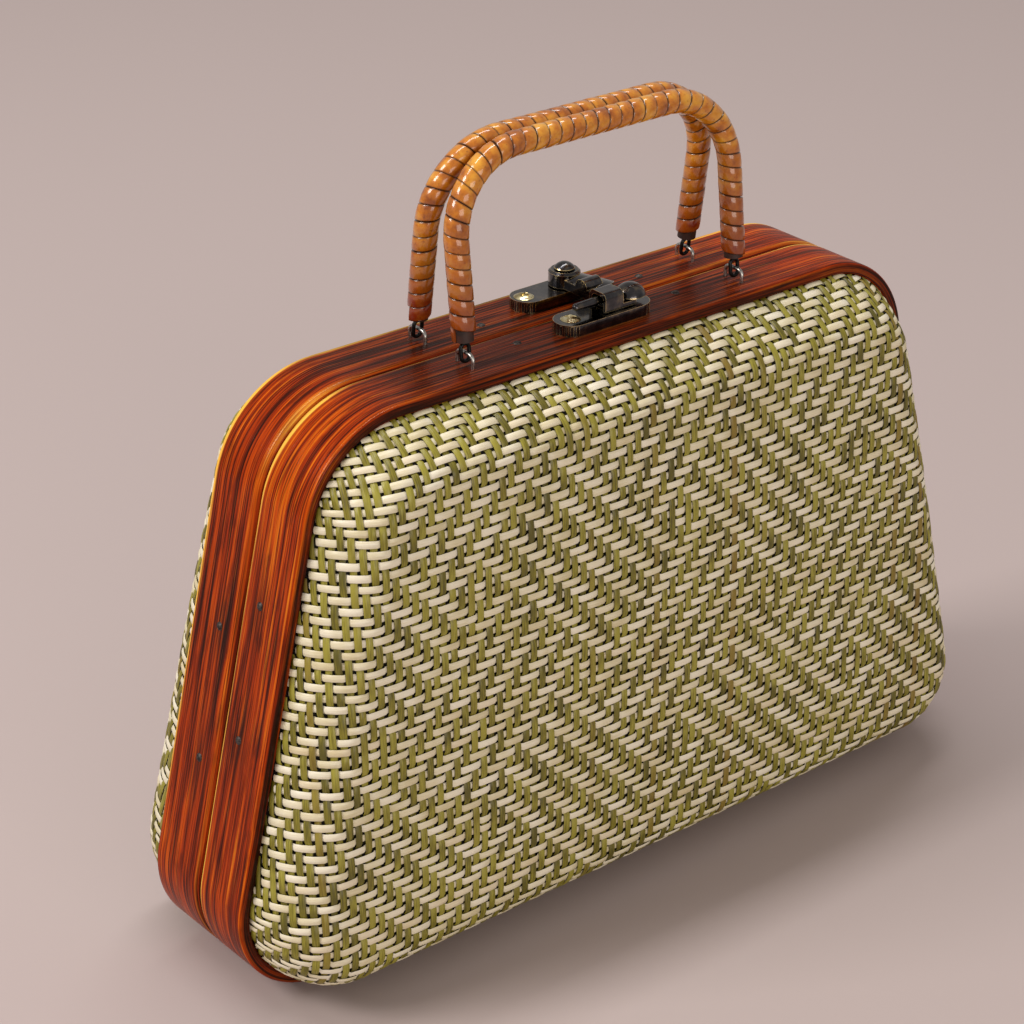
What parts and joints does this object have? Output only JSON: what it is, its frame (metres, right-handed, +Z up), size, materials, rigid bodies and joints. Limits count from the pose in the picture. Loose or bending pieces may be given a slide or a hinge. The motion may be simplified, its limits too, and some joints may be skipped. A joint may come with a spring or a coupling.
{
  "type": "hinged bamboo clutch purse",
  "caption": "Rigid clutch purse: bent bamboo hoops hinged at the base hold domed woven panels, with swinging cane-wrapped handles and a swing-hook latch.",
  "frame": {"origin": "middle of the base, in the seam plane between the two halves", "axes": "+X along the purse to the right seen from the front, -Y out of the front panel, +Z up to the handles"},
  "size_m": [0.24, 0.076, 0.203],
  "materials": {
    "hoop_bamboo": "gloss lacquer",
    "inner_bamboo": "satin",
    "woven_bamboo": "satin lacquer",
    "lining_cloth": "matte",
    "nail_steel": "dull",
    "staple_wire": "bright",
    "hinge_brass": "aged satin",
    "screw_brass": "polished",
    "latch_bronze": "antiqued",
    "handle_rod": "satin",
    "cane": "gloss lacquer",
    "eye_wire": "semi-gloss"
  },
  "bodies": {
    "back_half": {"back_hoop": "hoop_bamboo", "back_inner_hoop": "inner_bamboo", "back_woven_panel": "woven_bamboo", "back_lining": "lining_cloth", "back_nail_1": "nail_steel", "back_nail_2": "nail_steel", "back_nail_3": "nail_steel", "back_nail_4": "nail_steel", "back_nail_5": "nail_steel", "back_nail_6": "nail_steel", "back_staple_1": "staple_wire", "back_staple_2": "staple_wire", "back_hinge_leaf_1": "hinge_brass", "back_hinge_leaf_2": "hinge_brass", "back_hinge_screw_1": "screw_brass", "back_hinge_screw_2": "screw_brass", "back_hinge_screw_3": "screw_brass", "back_hinge_screw_4": "screw_brass", "hinge_pin_1": "hinge_brass", "hinge_pin_2": "hinge_brass", "latch_pivot_plate": "latch_bronze", "latch_rivet": "latch_bronze", "pivot_plate_screw_1": "screw_brass", "pivot_plate_screw_2": "screw_brass"},
    "front_half": {"front_hoop": "hoop_bamboo", "front_inner_hoop": "inner_bamboo", "front_woven_panel": "woven_bamboo", "front_lining": "lining_cloth", "front_nail_1": "nail_steel", "front_nail_2": "nail_steel", "front_nail_3": "nail_steel", "front_nail_4": "nail_steel", "front_nail_5": "nail_steel", "front_nail_6": "nail_steel", "front_staple_1": "staple_wire", "front_staple_2": "staple_wire", "front_hinge_leaf_1": "hinge_brass", "front_hinge_leaf_2": "hinge_brass", "front_hinge_screw_1": "screw_brass", "front_hinge_screw_2": "screw_brass", "front_hinge_screw_3": "screw_brass", "front_hinge_screw_4": "screw_brass", "latch_keeper_plate": "latch_bronze", "keeper_plate_screw": "screw_brass"},
    "latch_arm": {"latch_arm": "latch_bronze"},
    "front_handle": {"front_handle_core": "handle_rod", "front_cane_wrap": "cane", "front_eye_1": "eye_wire", "front_eye_2": "eye_wire"},
    "back_handle": {"back_handle_core": "handle_rod", "back_cane_wrap": "cane", "back_eye_1": "eye_wire", "back_eye_2": "eye_wire"}
  },
  "joints": [
    {"name": "front_open", "type": "hinge", "parent": "back_half", "child": "front_half", "pos_m": [0, 0, 0.001], "axis": [1, 0, 0], "range_deg": [0, 100]},
    {"name": "latch_swing", "type": "hinge", "parent": "back_half", "child": "latch_arm", "pos_m": [0.0025, 0.009, 0.153], "axis": [0, 0, -1], "range_deg": [0, 16]},
    {"name": "front_handle_swing", "type": "hinge", "parent": "front_half", "child": "front_handle", "pos_m": [0, -0.00925, 0.1532], "axis": [1, 0, 0], "range_deg": [0, 60]},
    {"name": "back_handle_swing", "type": "hinge", "parent": "back_half", "child": "back_handle", "pos_m": [0, 0.00925, 0.1532], "axis": [-1, 0, 0], "range_deg": [0, 60]}
  ]
}
